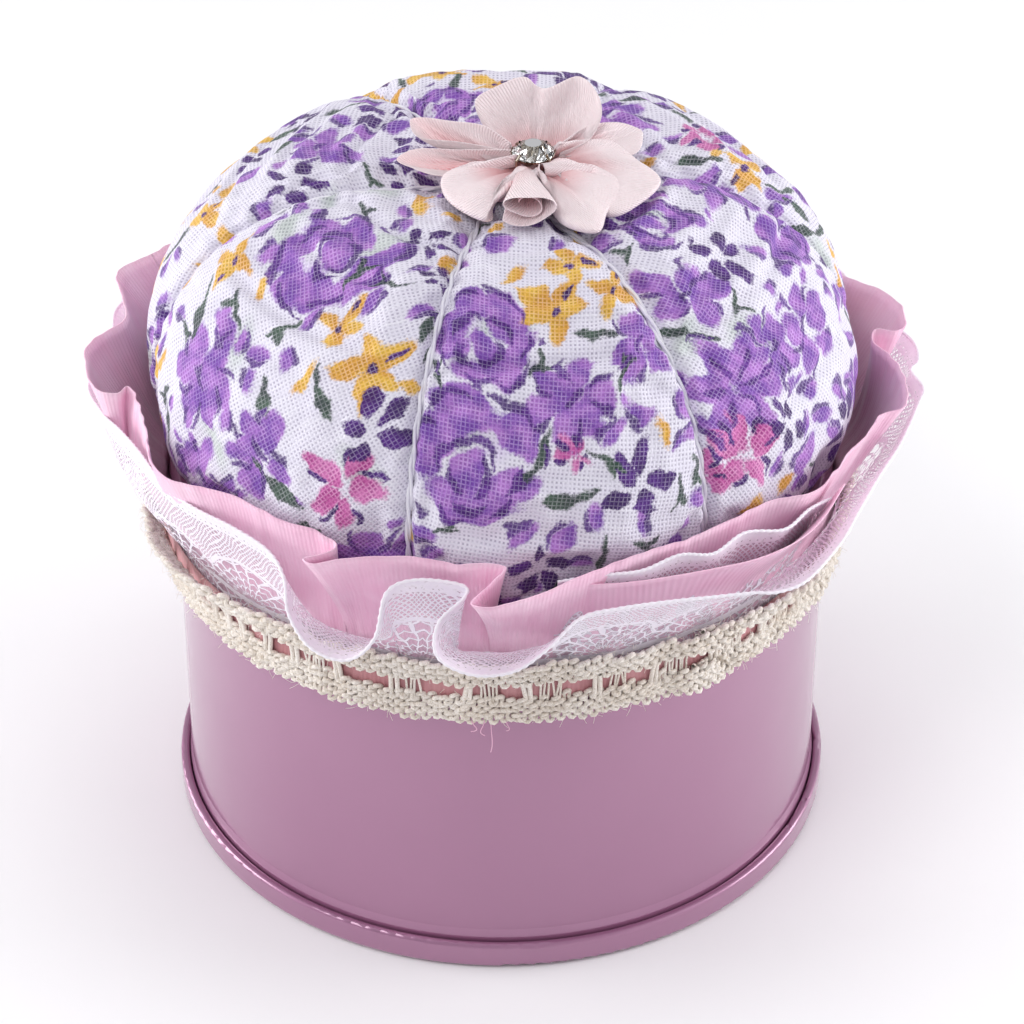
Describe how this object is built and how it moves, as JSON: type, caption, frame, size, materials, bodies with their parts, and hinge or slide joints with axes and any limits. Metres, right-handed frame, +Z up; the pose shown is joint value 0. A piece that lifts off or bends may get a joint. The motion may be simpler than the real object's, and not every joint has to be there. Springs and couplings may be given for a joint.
{
  "type": "pin cushion",
  "caption": "Round tin box with a slip-on lid that carries a stuffed, lobed pin cushion, a ruffled lace and ribbon collar and a ribbon flower with a cut stone.",
  "frame": {"origin": "centre of the flat ring that the tin stands on", "axes": "+Z up, along the axis of the tin; -Y is the front, between the two visible thread seams"},
  "size_m": [0.0984, 0.0984, 0.0869],
  "materials": {
    "tin_paint": "satin mauve paint on tinplate",
    "greyboard": "matte",
    "fibre_fill": "loose white polyester fibre",
    "print_cotton": "plain-weave cotton printed with small purple and yellow flowers",
    "thread": "white two-ply thread with a silky sheen",
    "ruffle_ribbon": "pink ribbed ribbon with a soft sheen",
    "lace": "sheer white net lace",
    "crochet_cotton": "unbleached cotton lace",
    "felt": "matte felt",
    "flower_ribbon": "light pink satin ribbon",
    "setting_metal": "bright plated metal",
    "stone_glass": "clear cut glass with a silvered back"
  },
  "bodies": {
    "tin": {"tin_wall": "tin_paint", "tin_bottom": "tin_paint"},
    "lid": {"lid_shell": "tin_paint", "cushion_board": "greyboard", "cushion_stuffing": "fibre_fill", "cushion_cover": "print_cotton", "gathering_thread": "thread", "crown_knot": "thread", "segment_thread_1": "thread", "segment_thread_2": "thread", "segment_thread_3": "thread", "segment_thread_4": "thread", "segment_thread_5": "thread", "segment_thread_6": "thread", "ribbon_ruffle": "ruffle_ribbon", "lace_ruffle": "lace", "crochet_band": "crochet_cotton", "flower_backing": "felt", "flower_petal_1": "flower_ribbon", "flower_petal_2": "flower_ribbon", "flower_petal_3": "flower_ribbon", "flower_petal_4": "flower_ribbon", "flower_petal_5": "flower_ribbon", "flower_petal_6": "flower_ribbon", "flower_petal_7": "flower_ribbon", "stone_setting": "setting_metal", "rhinestone": "stone_glass"}
  },
  "joints": [
    {"name": "lid_lift", "type": "slide", "parent": "tin", "child": "lid", "axis": [0, 0, 1], "range_m": [0, 0.04]}
  ]
}
